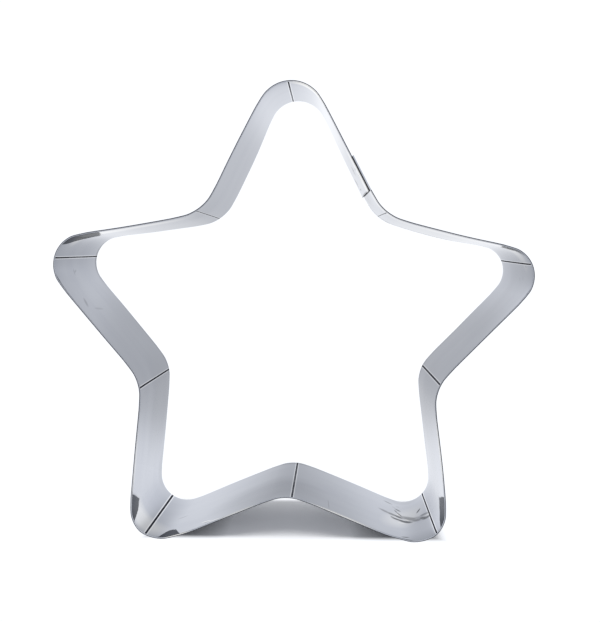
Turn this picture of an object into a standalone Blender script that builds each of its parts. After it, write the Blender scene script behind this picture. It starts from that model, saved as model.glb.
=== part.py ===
"""Star cake ring, standing on its two lower points.

A bottomless baking ring: one strip of thin stainless sheet, bent at ten places into a
five-pointed star with rounded points and rounded valleys. The strip's two ends lie on each
other on the straight arm between the top point and the upper right valley, and a row of
resistance spot welds holds them.

Frame: metres, +Z up, +X to the right and +Y away from the viewer, through the ring. The
origin is under the middle of the ring's box, on the surface that the lower points stand on.
"""

import math

import bmesh
import bpy
from mathutils import Matrix, Vector

MM = 0.001

# The strip: sheet thickness, width (which is the ring's depth) and the broken edge of its rims.
SHEET = 0.8 * MM
RING_DEPTH = 63.5 * MM
RIM_BREAK = 0.12 * MM

# The star: circles through the centres of the bends, and each bend's radius at mid-sheet.
POINT_CIRCLE = 116.0 * MM
VALLEY_CIRCLE = 107.5 * MM
POINT_BEND = 16.5 * MM
VALLEY_BEND = 24.0 * MM
POINT_HALF_STEPS = 7
VALLEY_HALF_STEPS = 4
DEPTH_STEPS = 4

# The ring is bent by hand on pegs, so each bend strays a little from the true star. In mm:
# outwards, sideways (anticlockwise), on the bend's radius, upwards at the far rim, and how
# far the bend mark lies past the middle of its bend. From the top point, anticlockwise.
BEND_STRAYS = (
    (0.0, 1.0, 1.5, 5.5, 1.0),
    (0.5, 0.0, 1.0, 1.0, 1.5),
    (0.0, -0.5, 0.5, 2.0, 2.0),
    (1.5, 0.0, 0.0, 1.0, 3.0),
    (1.5, 1.0, 0.0, 0.0, 1.5),
    (2.0, 1.0, 0.0, 0.0, 3.0),
    (-1.5, 2.0, 0.0, 0.0, 2.5),
    (-1.5, 0.0, -0.5, 1.5, 3.0),
    (0.0, -1.0, -1.0, 3.0, 2.0),
    (1.5, -1.5, 1.5, 2.5, 0.0),
)

# The lap: its length, the gap between its layers, and how far the inner layer's end lies
# from the middle of the arm, towards the upper right valley.
LAP_LENGTH = 20.0 * MM
LAP_GAP = 0.1 * MM
LAP_END = 25.0 * MM
LAP_STEPS = 4

# The bend marks: shallow V grooves across the inner face.
MARK_WIDTH = 0.5 * MM
MARK_DEPTH = 0.12 * MM

# The spot welds: lens-shaped nuggets spread evenly over the ring's depth, by turns nearer to
# the inner and to the outer layer's end. Each sits in a pocket of the two layers, with a
# shallow electrode dish over it on both faces.
WELDS = 3
INNER_END_TO_WELD = 9.0 * MM
OUTER_END_TO_WELD = 5.0 * MM
NUGGET_RADIUS = 2.2 * MM
NUGGET_HALF_HEIGHT = 0.32 * MM
POCKET_CLEARANCE = 0.2 * MM
DISH_RADIUS = 2.6 * MM
DISH_DEPTH = 0.08 * MM

BENDS = len(BEND_STRAYS)
LAP_PITCH = SHEET + LAP_GAP


def clear_scene():
    """Remove the objects and meshes that the scene starts with."""
    for obj in list(bpy.data.objects):
        bpy.data.objects.remove(obj, do_unlink=True)
    for mesh in list(bpy.data.meshes):
        bpy.data.meshes.remove(mesh)


def steel(name, colour, roughness):
    """A bare steel finish."""
    material = bpy.data.materials.new(name)
    material.use_nodes = True
    shader = material.node_tree.nodes["Principled BSDF"]
    shader.inputs["Base Color"].default_value = (*colour, 1.0)
    shader.inputs["Metallic"].default_value = 1.0
    shader.inputs["Roughness"].default_value = roughness
    material.diffuse_color = (*colour, 1.0)
    return material


def is_point(bend):
    """Bends alternate: even ones are the star's points, odd ones its valleys."""
    return bend % 2 == 0


def bend_radius(bend):
    """Radius of a bend at the middle of the sheet."""
    nominal = POINT_BEND if is_point(bend) else VALLEY_BEND
    return nominal + BEND_STRAYS[bend][2] * MM


def bend_centres():
    """Centres of the ten bends in the plane of the star, turned to stand on its lower points."""
    centres = []
    for bend in range(BENDS):
        out, side = BEND_STRAYS[bend][:2]
        angle = math.pi / 2 + math.tau * bend / BENDS
        outwards = Vector((math.cos(angle), math.sin(angle)))
        sideways = Vector((-outwards.y, outwards.x))
        circle = POINT_CIRCLE if is_point(bend) else VALLEY_CIRCLE
        centres.append(outwards * (circle + out * MM) + sideways * side * MM)
    points = [bend for bend in range(BENDS) if is_point(bend)]
    lower_points = sorted(points, key=lambda bend: centres[bend].y)[:2]
    left, right = sorted(lower_points, key=lambda bend: centres[bend].x)
    chord = centres[right] - centres[left]
    slope = math.asin((bend_radius(right) - bend_radius(left)) / chord.length)
    turn = Matrix.Rotation(slope - math.atan2(chord.y, chord.x), 2)
    centres = [turn @ centre for centre in centres]
    leftmost = min(centres[bend].x - bend_radius(bend) for bend in points)
    rightmost = max(centres[bend].x + bend_radius(bend) for bend in points)
    lowest = centres[left].y - bend_radius(left) - SHEET / 2
    origin = Vector(((leftmost + rightmost) / 2, lowest))
    return [centre - origin for centre in centres]


def far_centres(centres):
    """The bends' centres at the far rim, which has sprung up a little over the lower points."""
    rises = [stray[3] * MM for stray in BEND_STRAYS]
    return [Vector((c.x, c.y + rise)) for c, rise in zip(centres, rises)]


def tangent_normal(here, there, here_reach, there_reach):
    """Outward normal of the straight arm that runs anticlockwise from one bend to the next.

    A reach is how far the arm's line lies outwards of the bend's centre.
    """
    span = there - here
    bearing = math.atan2(span.y, span.x)
    swing = math.acos((here_reach - there_reach) / span.length)
    return Vector((math.cos(bearing - swing), math.sin(bearing - swing)))


def reach(bend):
    """How far outwards of a bend's centre the middle of the sheet runs."""
    return bend_radius(bend) if is_point(bend) else -bend_radius(bend)


def strip_path(centres):
    """Stations along the middle of the sheet: (place, outward normal, depth of the bend mark).

    They run anticlockwise from the inner layer's end, round all ten bends, to the outer
    layer's end. Both layers lie on the arm between the last bend and the first.
    """
    last = BENDS - 1
    normals = []
    for bend in range(last):
        here, there = centres[bend], centres[bend + 1]
        normals.append(tangent_normal(here, there, reach(bend), reach(bend + 1)))
    # The outer layer is tangent to the last bend, and clears the inner one at the first.
    lap_normal = tangent_normal(centres[last], centres[0], reach(last), reach(0) + LAP_PITCH)
    normals.append(lap_normal)
    up_the_arm = Vector((-lap_normal.y, lap_normal.x))

    outer_foot = centres[last] + lap_normal * reach(last)
    inner_foot = centres[0] + lap_normal * reach(0)
    middle = (outer_foot + inner_foot) / 2
    lap_start = middle - up_the_arm * LAP_END
    # Both layers get stations at the same places, so that they stay parallel where they twist.
    lap_stops = [lap_start + up_the_arm * LAP_LENGTH * i / LAP_STEPS for i in range(LAP_STEPS + 1)]

    def layer(foot):
        offsets = [(stop - foot).dot(lap_normal) for stop in lap_stops]
        return [(stop - lap_normal * offset, lap_normal, 0.0)
                for stop, offset in zip(lap_stops, offsets)]

    stations = layer(inner_foot)
    for bend in range(BENDS):
        stations += bend_stations(bend, centres[bend], normals[bend - 1], normals[bend])
    return stations + layer(outer_foot)


def bend_stations(bend, centre, normal_in, normal_out):
    """Stations round one bend: as many before its mark as after it, and the mark's own groove."""
    radius = bend_radius(bend)
    side = 1 if is_point(bend) else -1
    start = math.atan2(normal_in.y, normal_in.x)
    turn = (math.atan2(normal_out.y, normal_out.x) - start + math.pi) % math.tau - math.pi
    steps = POINT_HALF_STEPS if is_point(bend) else VALLEY_HALF_STEPS
    length = abs(turn) * radius
    mark = length / 2 + BEND_STRAYS[bend][4] * MM
    before = [(mark - MARK_WIDTH / 2) * step / steps for step in range(steps + 1)]
    rest = length - mark - MARK_WIDTH / 2
    after = [length - rest * (1 - step / steps) for step in range(steps + 1)]
    stations = []
    for stop in [*before, mark, *after]:
        angle = start + turn * stop / length
        normal = Vector((math.cos(angle), math.sin(angle)))
        place = centre + normal * radius * side
        stations.append((place, normal, MARK_DEPTH if stop == mark else 0.0))
    return stations


def section(near, far):
    """The strip's cross-section at one station: a ring of points, both rims broken."""
    (near_place, near_normal, mark), (far_place, far_normal, _) = near, far

    def point(offset, y):
        share = y / RING_DEPTH + 0.5
        place = near_place.lerp(far_place, share) + near_normal.lerp(far_normal, share) * offset
        return Vector((place.x, y, place.y))

    rim = RING_DEPTH / 2
    outer = SHEET / 2
    inner = mark - SHEET / 2
    broken = rim - RIM_BREAK
    rows = [broken * (2 * row / DEPTH_STEPS - 1) for row in range(DEPTH_STEPS + 1)]
    ring = [point(outer - RIM_BREAK, -rim)]
    ring += [point(outer, y) for y in rows]
    ring += [point(outer - RIM_BREAK, rim), point(inner + RIM_BREAK, rim)]
    ring += [point(inner, y) for y in reversed(rows)]
    ring.append(point(inner + RIM_BREAK, -rim))
    return ring


def new_object(name, shape, material):
    """Put a bmesh in the scene as one named object, shaded smooth but for its edges."""
    mesh = bpy.data.meshes.new(name)
    shape.to_mesh(mesh)
    shape.free()
    mesh.shade_smooth()
    mesh.set_sharp_from_angle(angle=math.radians(30))
    mesh.materials.append(material)
    obj = bpy.data.objects.new(name, mesh)
    bpy.context.scene.collection.objects.link(obj)
    return obj


def make_strip(near_path, far_path, material):
    """Loft the strip's section along its path and close it at both ends."""
    shape = bmesh.new()
    rings = []
    for near, far in zip(near_path, far_path):
        rings.append([shape.verts.new(corner) for corner in section(near, far)])
    for ring, following in zip(rings, rings[1:]):
        for i in range(len(ring)):
            j = (i + 1) % len(ring)
            shape.faces.new((ring[i], ring[j], following[j], following[i]))
    shape.faces.new(rings[0])
    shape.faces.new(reversed(rings[-1]))
    bmesh.ops.recalc_face_normals(shape, faces=shape.faces)
    return new_object("strip", shape, material)


def lens(name, centre, outwards, radius, half_height, material):
    """A flattened ball with its short axis square to the sheet."""
    shape = bmesh.new()
    bmesh.ops.create_uvsphere(shape, u_segments=24, v_segments=8, radius=1.0)
    size = Matrix.Diagonal((radius, radius, half_height, 1.0))
    facing = Vector((0.0, 0.0, 1.0)).rotation_difference(outwards).to_matrix().to_4x4()
    bmesh.ops.transform(shape, matrix=facing @ size, verts=shape.verts)
    obj = new_object(name, shape, material)
    obj.location = centre
    return obj


def cut(body, cutter):
    """Take a cutter's shape out of a body, and keep the cutter as a hidden guide."""
    cutter.hide_render = True
    cutter.display_type = "WIRE"
    modifier = body.modifiers.new(f"cut_{cutter.name}", "BOOLEAN")
    modifier.operation = "DIFFERENCE"
    modifier.solver = "EXACT"
    modifier.object = cutter


def faying_frame(near_path, far_path, y):
    """Place, upward and outward directions at the inner end of the lap, midway between its layers."""
    share = y / RING_DEPTH + 0.5
    ends = []
    for path, depth in ((near_path, -RING_DEPTH / 2), (far_path, RING_DEPTH / 2)):
        place, normal, _ = path[0]
        middle = place + normal * LAP_PITCH / 2
        ends.append((Vector((middle.x, depth, middle.y)), Vector((-normal.y, 0.0, normal.x))))
    (near, near_up), (far, far_up) = ends
    upwards = near_up.lerp(far_up, share).normalized()
    outwards = (far - near).cross(upwards).normalized()
    return near.lerp(far, share), upwards, outwards


def make_welds(strip, near_path, far_path, material):
    """Seat the nuggets in the lap, with their pockets and electrode dishes."""
    for weld in range(WELDS):
        y = RING_DEPTH * ((weld + 0.5) / WELDS - 0.5)
        lap_foot, upwards, outwards = faying_frame(near_path, far_path, y)
        along = LAP_LENGTH - OUTER_END_TO_WELD if weld % 2 else INNER_END_TO_WELD
        centre = lap_foot + upwards * along
        number = weld + 1
        pocket = lens(f"pocket_{number}", centre, outwards, NUGGET_RADIUS + POCKET_CLEARANCE,
                      NUGGET_HALF_HEIGHT + POCKET_CLEARANCE, material)
        cut(strip, pocket)
        face = LAP_PITCH / 2 + SHEET / 2
        for label, side in (("outer", face), ("inner", -face)):
            dish = lens(f"dish_{label}_{number}", centre + outwards * side, outwards,
                        DISH_RADIUS, DISH_DEPTH, material)
            cut(strip, dish)
        lens(f"spot_weld_{number}", centre, outwards, NUGGET_RADIUS, NUGGET_HALF_HEIGHT, material)


clear_scene()
sheet_steel = steel("bright_stainless_sheet", (0.78, 0.79, 0.82), 0.28)
weld_steel = steel("fused_weld_steel", (0.52, 0.50, 0.48), 0.45)

near_centres = bend_centres()
near_stations = strip_path(near_centres)
far_stations = strip_path(far_centres(near_centres))

strip_object = make_strip(near_stations, far_stations, sheet_steel)
make_welds(strip_object, near_stations, far_stations, weld_steel)
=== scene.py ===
"""Star cake ring: the looks of one sheet-steel baking ring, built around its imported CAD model.

Frame: metres, +Z up, +X to the right and +Y away from the viewer, through the ring. The origin
is under the middle of the ring, on the surface that its two lower points stand on.
"""

import bisect
import functools
import math

import bmesh
import bpy
from mathutils import Matrix, Vector


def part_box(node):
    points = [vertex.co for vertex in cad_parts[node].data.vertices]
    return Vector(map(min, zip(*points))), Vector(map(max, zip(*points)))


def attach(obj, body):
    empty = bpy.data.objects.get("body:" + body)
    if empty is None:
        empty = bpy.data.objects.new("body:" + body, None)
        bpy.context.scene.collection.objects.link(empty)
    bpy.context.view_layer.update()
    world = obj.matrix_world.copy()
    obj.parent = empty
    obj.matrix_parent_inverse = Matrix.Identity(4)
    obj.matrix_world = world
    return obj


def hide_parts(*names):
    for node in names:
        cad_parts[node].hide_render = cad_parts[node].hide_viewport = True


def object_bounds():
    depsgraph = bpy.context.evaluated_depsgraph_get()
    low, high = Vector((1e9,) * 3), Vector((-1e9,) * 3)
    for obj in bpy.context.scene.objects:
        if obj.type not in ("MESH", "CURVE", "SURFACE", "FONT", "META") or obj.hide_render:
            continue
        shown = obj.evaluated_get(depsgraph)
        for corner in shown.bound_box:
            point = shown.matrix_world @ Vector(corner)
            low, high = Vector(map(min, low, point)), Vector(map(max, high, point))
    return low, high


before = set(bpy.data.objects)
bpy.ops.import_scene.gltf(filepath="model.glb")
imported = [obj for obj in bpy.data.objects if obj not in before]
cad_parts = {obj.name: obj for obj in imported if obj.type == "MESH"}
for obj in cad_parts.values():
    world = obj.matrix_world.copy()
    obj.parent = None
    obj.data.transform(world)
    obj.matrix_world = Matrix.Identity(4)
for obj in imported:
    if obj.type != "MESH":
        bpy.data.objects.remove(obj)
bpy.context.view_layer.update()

# The strip's line. One band of stainless sheet is bent by hand on pegs into the star, so each
# bend strays a little from the true one. The band's ends lap on the straight arm between the
# top point and the upper right valley, the end from the top point on the inside.
MM = 0.001

SHEET = 0.8 * MM
POINT_CIRCLE = 116.0 * MM
VALLEY_CIRCLE = 107.5 * MM
POINT_BEND = 16.5 * MM
VALLEY_BEND = 24.0 * MM
LAP_LENGTH = 20.0 * MM
LAP_GAP = 0.1 * MM
LAP_END = 25.0 * MM
LAP_PITCH = SHEET + LAP_GAP

# From the top point, anticlockwise. In mm: outwards, sideways (anticlockwise), on the bend's
# radius, upwards at the far rim, and how far the bend mark lies past the middle of its bend.
BEND_STRAYS = (
    (0.0, 1.0, 1.5, 5.5, 1.0),
    (0.5, 0.0, 1.0, 1.0, 1.5),
    (0.0, -0.5, 0.5, 2.0, 2.0),
    (1.5, 0.0, 0.0, 1.0, 3.0),
    (1.5, 1.0, 0.0, 0.0, 1.5),
    (2.0, 1.0, 0.0, 0.0, 3.0),
    (-1.5, 2.0, 0.0, 0.0, 2.5),
    (-1.5, 0.0, -0.5, 1.5, 3.0),
    (0.0, -1.0, -1.0, 3.0, 2.0),
    (1.5, -1.5, 1.5, 2.5, 0.0),
)
BENDS = len(BEND_STRAYS)

# Springback eases each bend into its arms, as a soft average over this reach would.
EASE = 5.0 * MM
EASE_STEPS = 12
EASE_SPREAD = 3.0

# The arms and bends have strayed a little in handling. In mm outwards at the near and the far
# rim: at the middle of each bend, and at the middle of the arm that follows it. The last arm,
# which has the lap, is straight.
RIM_STRAYS = (
    (0.0, 0.7), (0.3, -1.1),
    (-0.3, -0.7), (-0.6, -0.4),
    (0.1, 0.9), (0.0, 0.2),
    (-0.3, 0.2), (0.0, 0.1),
    (0.0, 0.6), (0.0, 0.1),
    (0.2, 0.4), (0.1, 0.1),
    (0.0, 0.6), (0.8, 0.1),
    (0.5, -0.1), (0.5, 0.6),
    (0.6, 1.1), (-0.5, -1.2),
    (-0.2, 0.1),
)

# The near rim stands up a little under the two lower points, where the ring has been knocked.
FOOT_LIFT = 1.0 * MM
FOOT_REACH = 6.0 * MM

# How finely the line is cut into stations, and how finely a bend is cut while it is eased.
BEND_STEPS = 24
ARM_STEPS = 12
LAP_STEPS = 30
FINE_STEPS = 200

# A bend mark needs stations of its own, here in half widths of the mark past its middle.
MARK_STOPS = (-2.2, -1.6, -1.0, 0.0, 1.0, 1.6, 2.2)

# How wide each mark is, in mm, from the top point's anticlockwise.
MARK_WIDTHS = (0.9, 0.6, 0.9, 1.0, 1.35, 1.1, 1.05, 1.1, 0.9, 0.6)

# Each mark is scribed a little askew. In mm along the strip, at the near and the far rim.
MARK_STRAYS = (
    (0.4, 1.7), (0.4, -0.1), (-0.1, 0.1), (0.0, 0.2), (-0.3, -0.9),
    (0.1, -0.5), (1.0, 1.1), (0.6, -0.1), (0.2, -0.2), (-0.2, 0.6),
)

# The near and the far rim's columns in the charts of strays.
NEAR, FAR = 0, 1


def is_point(bend):
    """Bends alternate: even ones are the star's points, odd ones its valleys."""
    return bend % 2 == 0


def bend_radius(bend):
    """Radius of a bend at the middle of the sheet."""
    nominal = POINT_BEND if is_point(bend) else VALLEY_BEND
    return nominal + BEND_STRAYS[bend][2] * MM


def reach(bend):
    """How far outwards of a bend's centre the middle of the sheet runs."""
    return bend_radius(bend) if is_point(bend) else -bend_radius(bend)


def bend_centres():
    """Centres of the bends in the plane of the star, turned to stand on its lower points."""
    centres = []
    for bend in range(BENDS):
        out, side = BEND_STRAYS[bend][:2]
        angle = math.pi / 2 + math.tau * bend / BENDS
        outwards = Vector((math.cos(angle), math.sin(angle)))
        sideways = Vector((-outwards.y, outwards.x))
        circle = POINT_CIRCLE if is_point(bend) else VALLEY_CIRCLE
        centres.append(outwards * (circle + out * MM) + sideways * side * MM)
    points = [bend for bend in range(BENDS) if is_point(bend)]
    lower_points = sorted(points, key=lambda bend: centres[bend].y)[:2]
    left, right = sorted(lower_points, key=lambda bend: centres[bend].x)
    chord = centres[right] - centres[left]
    slope = math.asin((bend_radius(right) - bend_radius(left)) / chord.length)
    turn = Matrix.Rotation(slope - math.atan2(chord.y, chord.x), 2)
    centres = [turn @ centre for centre in centres]
    leftmost = min(centres[bend].x - bend_radius(bend) for bend in points)
    rightmost = max(centres[bend].x + bend_radius(bend) for bend in points)
    lowest = centres[left].y - bend_radius(left) - SHEET / 2
    origin = Vector(((leftmost + rightmost) / 2, lowest))
    return [centre - origin for centre in centres]


def tangent_normal(here, there, here_reach, there_reach):
    """Outward normal of the straight arm that runs anticlockwise from one bend to the next."""
    span = there - here
    bearing = math.atan2(span.y, span.x)
    swing = math.acos((here_reach - there_reach) / span.length)
    return Vector((math.cos(bearing - swing), math.sin(bearing - swing)))


def station(place, normal, bend=None, past_mark=math.inf):
    """One stop of the line: its place and outward normal, the bend, and half widths past its mark."""
    return {"place": place, "normal": normal, "bend": bend, "past_mark": past_mark}


def arm(start, end):
    """Stations between two others, along a straight arm."""
    shares = [step / ARM_STEPS for step in range(1, ARM_STEPS)]
    return [station(start["place"].lerp(end["place"], share), end["normal"]) for share in shares]


def bow(bend, centre, normal_in, normal_out, steps, rim):
    """Stations round one bend: even steps on both sides of its mark, and the mark's own."""
    radius = bend_radius(bend)
    side = 1 if is_point(bend) else -1
    start = math.atan2(normal_in.y, normal_in.x)
    turn = (math.atan2(normal_out.y, normal_out.x) - start + math.pi) % math.tau - math.pi
    length = abs(turn) * radius
    mark = length / 2 + (BEND_STRAYS[bend][4] + MARK_STRAYS[bend][rim]) * MM
    half = steps // 2
    half_width = MARK_WIDTHS[bend] * MM / 2
    first, last = mark + MARK_STOPS[0] * half_width, mark + MARK_STOPS[-1] * half_width
    stops = [first * step / half for step in range(half)]
    stops += [mark + stop * half_width for stop in MARK_STOPS]
    stops += [last + (length - last) * (step + 1) / half for step in range(half)]
    stations = []
    for stop in stops:
        angle = start + turn * stop / length
        normal = Vector((math.cos(angle), math.sin(angle)))
        stations.append(station(centre + normal * radius * side, normal, bend, (stop - mark) / half_width))
    return stations


def rim_line(centres, bend_steps, rim):
    """Stations along the middle of the sheet at one rim, anticlockwise from the inner layer's end."""
    final = BENDS - 1
    normals = [tangent_normal(centres[bend], centres[bend + 1], reach(bend), reach(bend + 1))
               for bend in range(final)]
    # The outer layer is tangent to the last bend, and clears the inner one at the first.
    lap_normal = tangent_normal(centres[final], centres[0], reach(final), reach(0) + LAP_PITCH)
    normals.append(lap_normal)
    up_the_arm = Vector((-lap_normal.y, lap_normal.x))
    outer_foot = centres[final] + lap_normal * reach(final)
    inner_foot = centres[0] + lap_normal * reach(0)
    lap_start = (outer_foot + inner_foot) / 2 - up_the_arm * LAP_END
    lap_stops = [lap_start + up_the_arm * LAP_LENGTH * i / LAP_STEPS for i in range(LAP_STEPS + 1)]

    def layer(foot):
        return [station(stop - lap_normal * (stop - foot).dot(lap_normal), lap_normal)
                for stop in lap_stops]

    line = layer(inner_foot)
    for bend in range(BENDS):
        bent = bow(bend, centres[bend], normals[bend - 1], normals[bend], bend_steps, rim)
        line += arm(line[-1], bent[0]) + bent
    outer_layer = layer(outer_foot)
    return line + arm(line[-1], outer_layer[0]) + outer_layer


def travels(line):
    """How far along a line each of its stations lies."""
    spots = [0.0]
    for here, there in zip(line, line[1:]):
        spots.append(spots[-1] + (there["place"] - here["place"]).length)
    return spots


def bend_spans(line, spots):
    """How far along a line each bend starts and ends."""
    spans = []
    for bend in range(BENDS):
        inside = [spot for spot, stop in zip(spots, line) if stop["bend"] == bend]
        spans.append((inside[0], inside[-1]))
    return spans


def locate(spots, spot):
    """The first of some rising spots that lies past another one, and its share of the way there."""
    after = min(max(bisect.bisect(spots, spot), 1), len(spots) - 1)
    return after, (spot - spots[after - 1]) / (spots[after] - spots[after - 1])


def smooth(share):
    """A share from 0 to 1, eased at both ends."""
    return share * share * (3 - 2 * share)


def eased_line(centres, rim):
    """A rim's line with each bend eased into its arms."""
    line, fine = rim_line(centres, BEND_STEPS, rim), rim_line(centres, FINE_STEPS, rim)
    coarse_spots, fine_spots = travels(line), travels(fine)
    end = fine_spots[-1]
    spots = [spot * end / coarse_spots[-1] for spot in coarse_spots]
    for spot, stop in zip(spots, line):
        reach_here = min(EASE, spot / EASE_SPREAD, (end - spot) / EASE_SPREAD)
        place, normal, weights = Vector((0.0, 0.0)), Vector((0.0, 0.0)), 0.0
        for step in range(-EASE_STEPS, EASE_STEPS + 1):
            offset = EASE_SPREAD * step / EASE_STEPS
            weight = math.exp(-offset * offset / 2)
            after, share = locate(fine_spots, min(max(spot + offset * reach_here, 0.0), end))
            place += weight * fine[after - 1]["place"].lerp(fine[after]["place"], share)
            normal += weight * fine[after - 1]["normal"].lerp(fine[after]["normal"], share)
            weights += weight
        stop["place"], stop["normal"] = place / weights, normal.normalized()
    return line


def stray(line, rim):
    """Move a rim's line outwards by its strays, smoothly from each to the next."""
    spots = travels(line)
    spans = bend_spans(line, spots)
    middles = []
    for bend, (first, last) in enumerate(spans):
        middles.append((first + last) / 2)
        if bend < BENDS - 1:
            middles.append((last + spans[bend + 1][0]) / 2)
    # The lap doesn't stray, so its two layers stay parallel.
    anchor_spots = [0.0, spots[LAP_STEPS], *middles, spots[-1 - LAP_STEPS], spots[-1]]
    anchor_strays = [0.0, 0.0, *(row[rim] * MM for row in RIM_STRAYS), 0.0, 0.0]
    for spot, stop in zip(spots, line):
        after, share = locate(anchor_spots, spot)
        low, high = anchor_strays[after - 1], anchor_strays[after]
        stop["place"] += stop["normal"] * (low + (high - low) * smooth(share))
        if rim == NEAR:
            lowness = min(max(1.0 - stop["place"].y / FOOT_REACH, 0.0), 1.0)
            stop["place"].y += FOOT_LIFT * smooth(lowness)
    return line


ring_low, ring_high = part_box("strip")
NEAR_RIM, FAR_RIM = ring_low.y, ring_high.y
RING_DEPTH = FAR_RIM - NEAR_RIM

near_centres = bend_centres()
# The two lower bends sink by what easing takes off their reach, so the ring stands on the floor.
for bend in sorted(range(BENDS), key=lambda bend: near_centres[bend].y - reach(bend))[:2]:
    near_centres[bend].y -= EASE * EASE / 2 / bend_radius(bend)
# The far rim has sprung up a little over the lower points.
far_centres = [centre + Vector((0.0, row[3] * MM)) for centre, row in zip(near_centres, BEND_STRAYS)]
near_line = stray(eased_line(near_centres, NEAR), NEAR)
far_line = stray(eased_line(far_centres, FAR), FAR)
travel = travels(near_line)
near_spans = bend_spans(near_line, travel)

# The bend marks. Before it is bent, the flat band gets a line scribed straight across its inner
# face at each of the ten bends, and some ink or soot stays in the groove. The cutter throws up a
# small burr on either side.
MARK_DEPTH = 0.12 * MM
MARK_BURR = 0.04 * MM
# How far out the burr reaches, in half widths of the mark.
BURR_EDGE = 2.0

# A share of the mark's half width that is too small to tell from its edge.
MARK_SEAM = 0.01

# How dark each mark is at the near rim, in the middle and at the far rim, from the top point's
# anticlockwise.
MARK_INK = (
    (1.0, 0.5, 0.5),
    (0.6, 0.6, 0.6),
    (1.0, 0.55, 0.9),
    (1.0, 1.0, 1.0),
    (1.0, 1.0, 1.0),
    (0.9, 0.8, 0.9),
    (1.0, 0.9, 0.9),
    (1.0, 0.9, 1.0),
    (0.9, 0.9, 0.9),
    (0.5, 0.4, 0.3),
)


def mark_profile(past_mark):
    """How far the inner face is pushed into the sheet: a V groove with a burr on either side."""
    distance = abs(past_mark)
    if distance < 1.0 - MARK_SEAM:
        return MARK_DEPTH * (1 - distance)
    return -MARK_BURR if distance < BURR_EDGE else 0.0


# The curl of the rims. The squeezed face of a bend spreads sideways, so the sheet's edges curl
# outwards a little where a point is bent, and inwards where a valley is.
EDGE_CURL = 0.2 * MM
CURL_REACH = 3.5 * MM
CURL_FADE = 5.0 * MM

# How many times that curl each bend has, from the top point's anticlockwise.
CURL_SHARES = (1.0, 1.0, 1.7, 1.0, 1.0, 1.0, 1.6, 1.0, 1.6, 1.0)


def edge_curl(bend, spot):
    """How far a rim curls outwards at a spot along a bend, fading in and out over the bend's ends."""
    if bend is None:
        return 0.0
    first, last = near_spans[bend]
    fade = min(1.0, (spot - first) / CURL_FADE, (last - spot) / CURL_FADE)
    return EDGE_CURL * CURL_SHARES[bend] * smooth(fade) * (1 if is_point(bend) else -1)


def at_depth(flat, y):
    """A point or direction of the star's plane, at a depth through the ring."""
    return Vector((flat.x, y, flat.y))


# The line as a mesh, with what the sheet needs to know at each station.
line_mesh = bpy.data.meshes.new("strip_line")
line_mesh.from_pydata([at_depth(stop["place"], NEAR_RIM) for stop in near_line],
                      [(i, i + 1) for i in range(len(near_line) - 1)], [])
NO_INK = (0.0, 0.0, 0.0)
line_facts = {
    "near": [at_depth(stop["place"], NEAR_RIM) for stop in near_line],
    "far": [at_depth(stop["place"], FAR_RIM) for stop in far_line],
    "near_out": [at_depth(stop["normal"], 0.0) for stop in near_line],
    "far_out": [at_depth(stop["normal"], 0.0) for stop in far_line],
    "inks": [NO_INK if stop["bend"] is None else MARK_INK[stop["bend"]] for stop in near_line],
    "travel": travel,
    "curl": [edge_curl(stop["bend"], spot) for stop, spot in zip(near_line, travel)],
    "groove": [mark_profile(stop["past_mark"]) for stop in near_line],
    "scribed": [float(abs(stop["past_mark"]) < 1.0 + MARK_SEAM) for stop in near_line],
    "burr": [float(1.0 - MARK_SEAM < abs(stop["past_mark"]) < BURR_EDGE) for stop in near_line],
}
for name, values in line_facts.items():
    if isinstance(values[0], float):
        fact = line_mesh.attributes.new(name, "FLOAT", "POINT")
        fact.data.foreach_set("value", values)
    else:
        fact = line_mesh.attributes.new(name, "FLOAT_VECTOR", "POINT")
        fact.data.foreach_set("vector", [number for value in values for number in value])

# The dents of the spot welds. A pair of electrodes squeezes the lap at each nugget, and leaves a
# shallow dish in both faces with a heat-tinted ring round it. Each dish is a place on the sheet:
# travel along the strip, depth through the ring, and which face it is in.
INSIDE, OUTSIDE = -1.0, 1.0
WELDS = 3
INNER_END_TO_WELD = 9.0 * MM
OUTER_END_TO_WELD = 5.0 * MM
DISH_RADIUS = 2.6 * MM
DISH_DEPTH = 0.08 * MM

weld_places = []
for weld in range(WELDS):
    weld_depth = RING_DEPTH * ((weld + 0.5) / WELDS - 0.5)
    along = LAP_LENGTH - OUTER_END_TO_WELD if weld % 2 else INNER_END_TO_WELD
    weld_places.append((along, weld_depth, INSIDE))
    weld_places.append((travel[-1] - LAP_LENGTH + along, weld_depth, OUTSIDE))
weld_mesh = bpy.data.meshes.new("weld_places")
weld_mesh.from_pydata(weld_places, [], [])
weld_points = bpy.data.objects.new("weld_places", weld_mesh)
bpy.context.scene.collection.objects.link(weld_points)

# The steel: bright annealed stainless sheet. Its rolled surface is nearly a mirror, so it blurs
# what it reflects only slightly, and it is a shade cooler and darker than polished iron. Rolling
# leaves a fine grain along the band, and handling leaves a thin film and a few scratches.
STEEL_COLOUR = "#BABDC4"
FILM_COLOUR = "#B5B8C0"
BURR_HIGHLIGHT_COLOUR = "#F2F3F6"
# The colours of rubbed steel and painted highlight, and of scuffs and painted shade.
POLISH_AND_HIGHLIGHT_COLOUR = "#F8F6F0"
SCUFF_AND_SHADE_COLOUR = "#45474D"
CUT_AND_SHADE_COLOUR = "#2C2D31"
STRAW_TINT = "#B5AC98"
BLUE_TINT = "#9A9FAC"
# Real grain is finer than 0.1 mm. It is drawn as coarse as it needs to show.
GRAIN_WIDTH = 0.7 * MM
GRAIN_LENGTH = 18.0 * MM
GRAIN_RELIEF = 0.002 * MM
FILM_WIDTH = 15.0 * MM
FILM_LENGTH = 60.0 * MM
# From where to where in its noise the film comes up, in colour and in dullness.
FILM_TONES = (0.42, 0.68)
FILM_DULLS = (0.35, 0.7)
# How far apart in the noises the two faces lie, so that each has its own pattern.
FACES_APART = 3.0
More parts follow.
